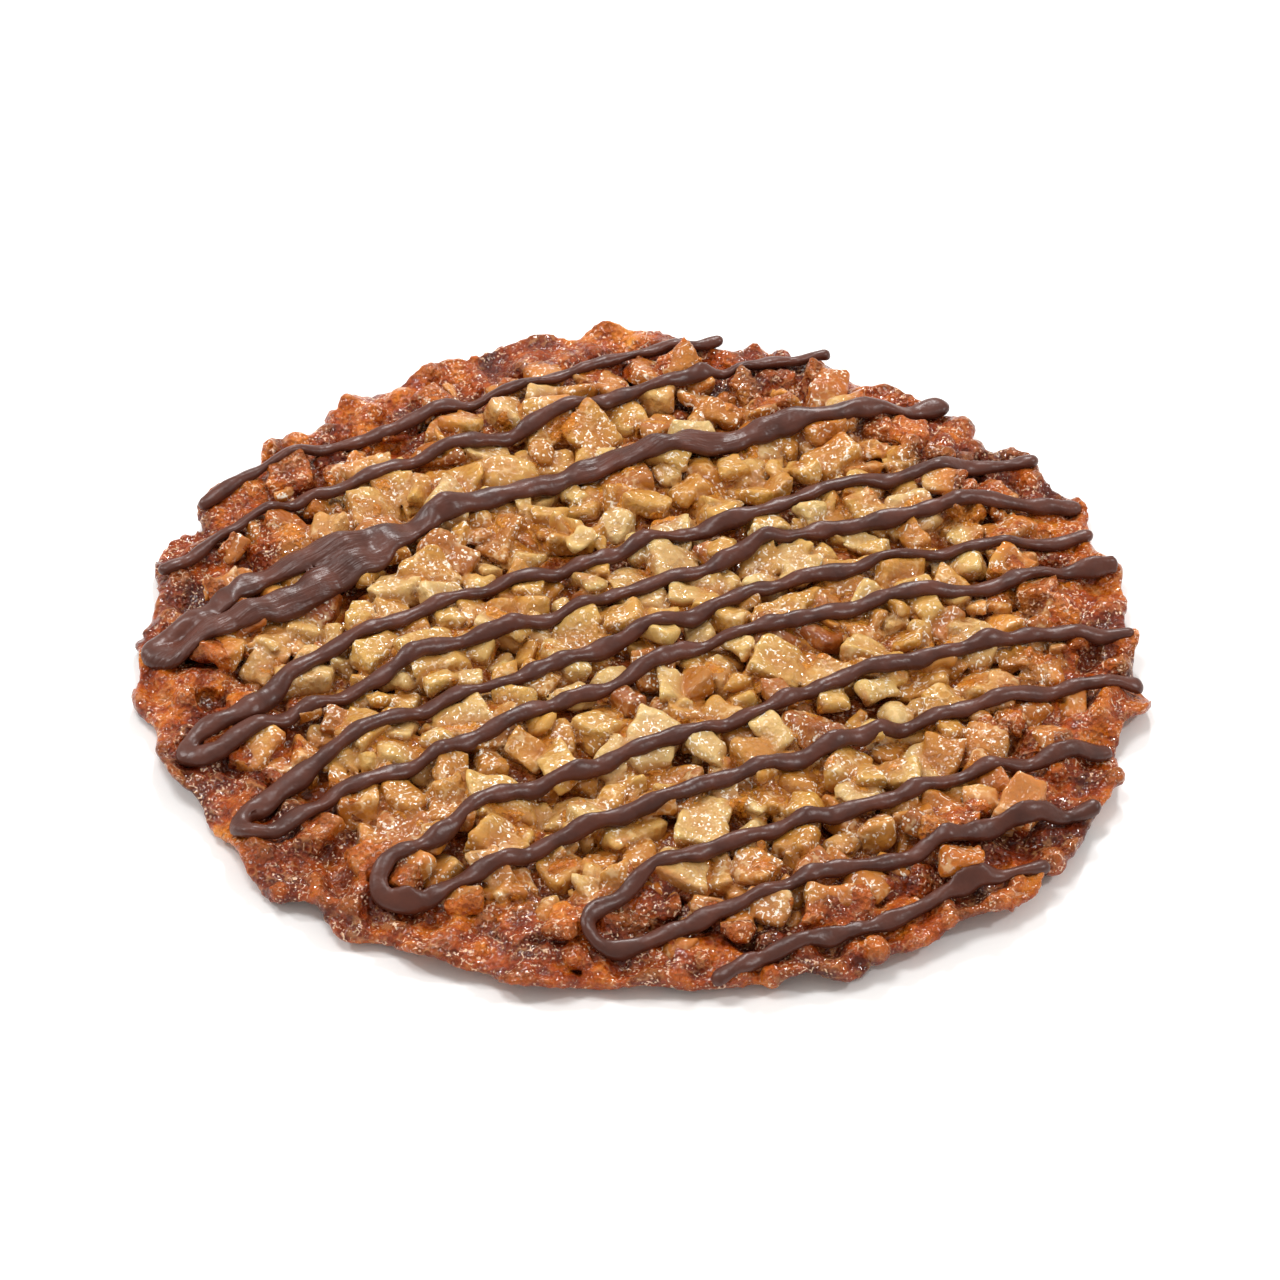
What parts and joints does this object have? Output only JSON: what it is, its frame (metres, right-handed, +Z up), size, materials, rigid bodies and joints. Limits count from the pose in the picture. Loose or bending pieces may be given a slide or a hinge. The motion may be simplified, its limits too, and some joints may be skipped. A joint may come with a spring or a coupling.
{
  "type": "florentine cookie",
  "caption": "Thin round lace cookie of caramel and chopped nuts, with a flat underside, a scalloped rim that curls up, and raised chocolate lines across the top.",
  "frame": {"origin": "middle of the flat underside, on the surface that the cookie lies on", "axes": "+Z up through the cookie; the chocolate lines run 26 degrees anticlockwise of +X, seen from above, and their hairpin turns are at -X"},
  "size_m": [0.0892, 0.0866, 0.007],
  "materials": {
    "caramel": "glossy baked caramel lace, amber to red-brown, bubbled",
    "nuts": "chopped golden nuts under a clear sugar glaze",
    "chocolate": "satin dark chocolate"
  },
  "bodies": {
    "root": {"florentine": "caramel"}
  },
  "joints": []
}
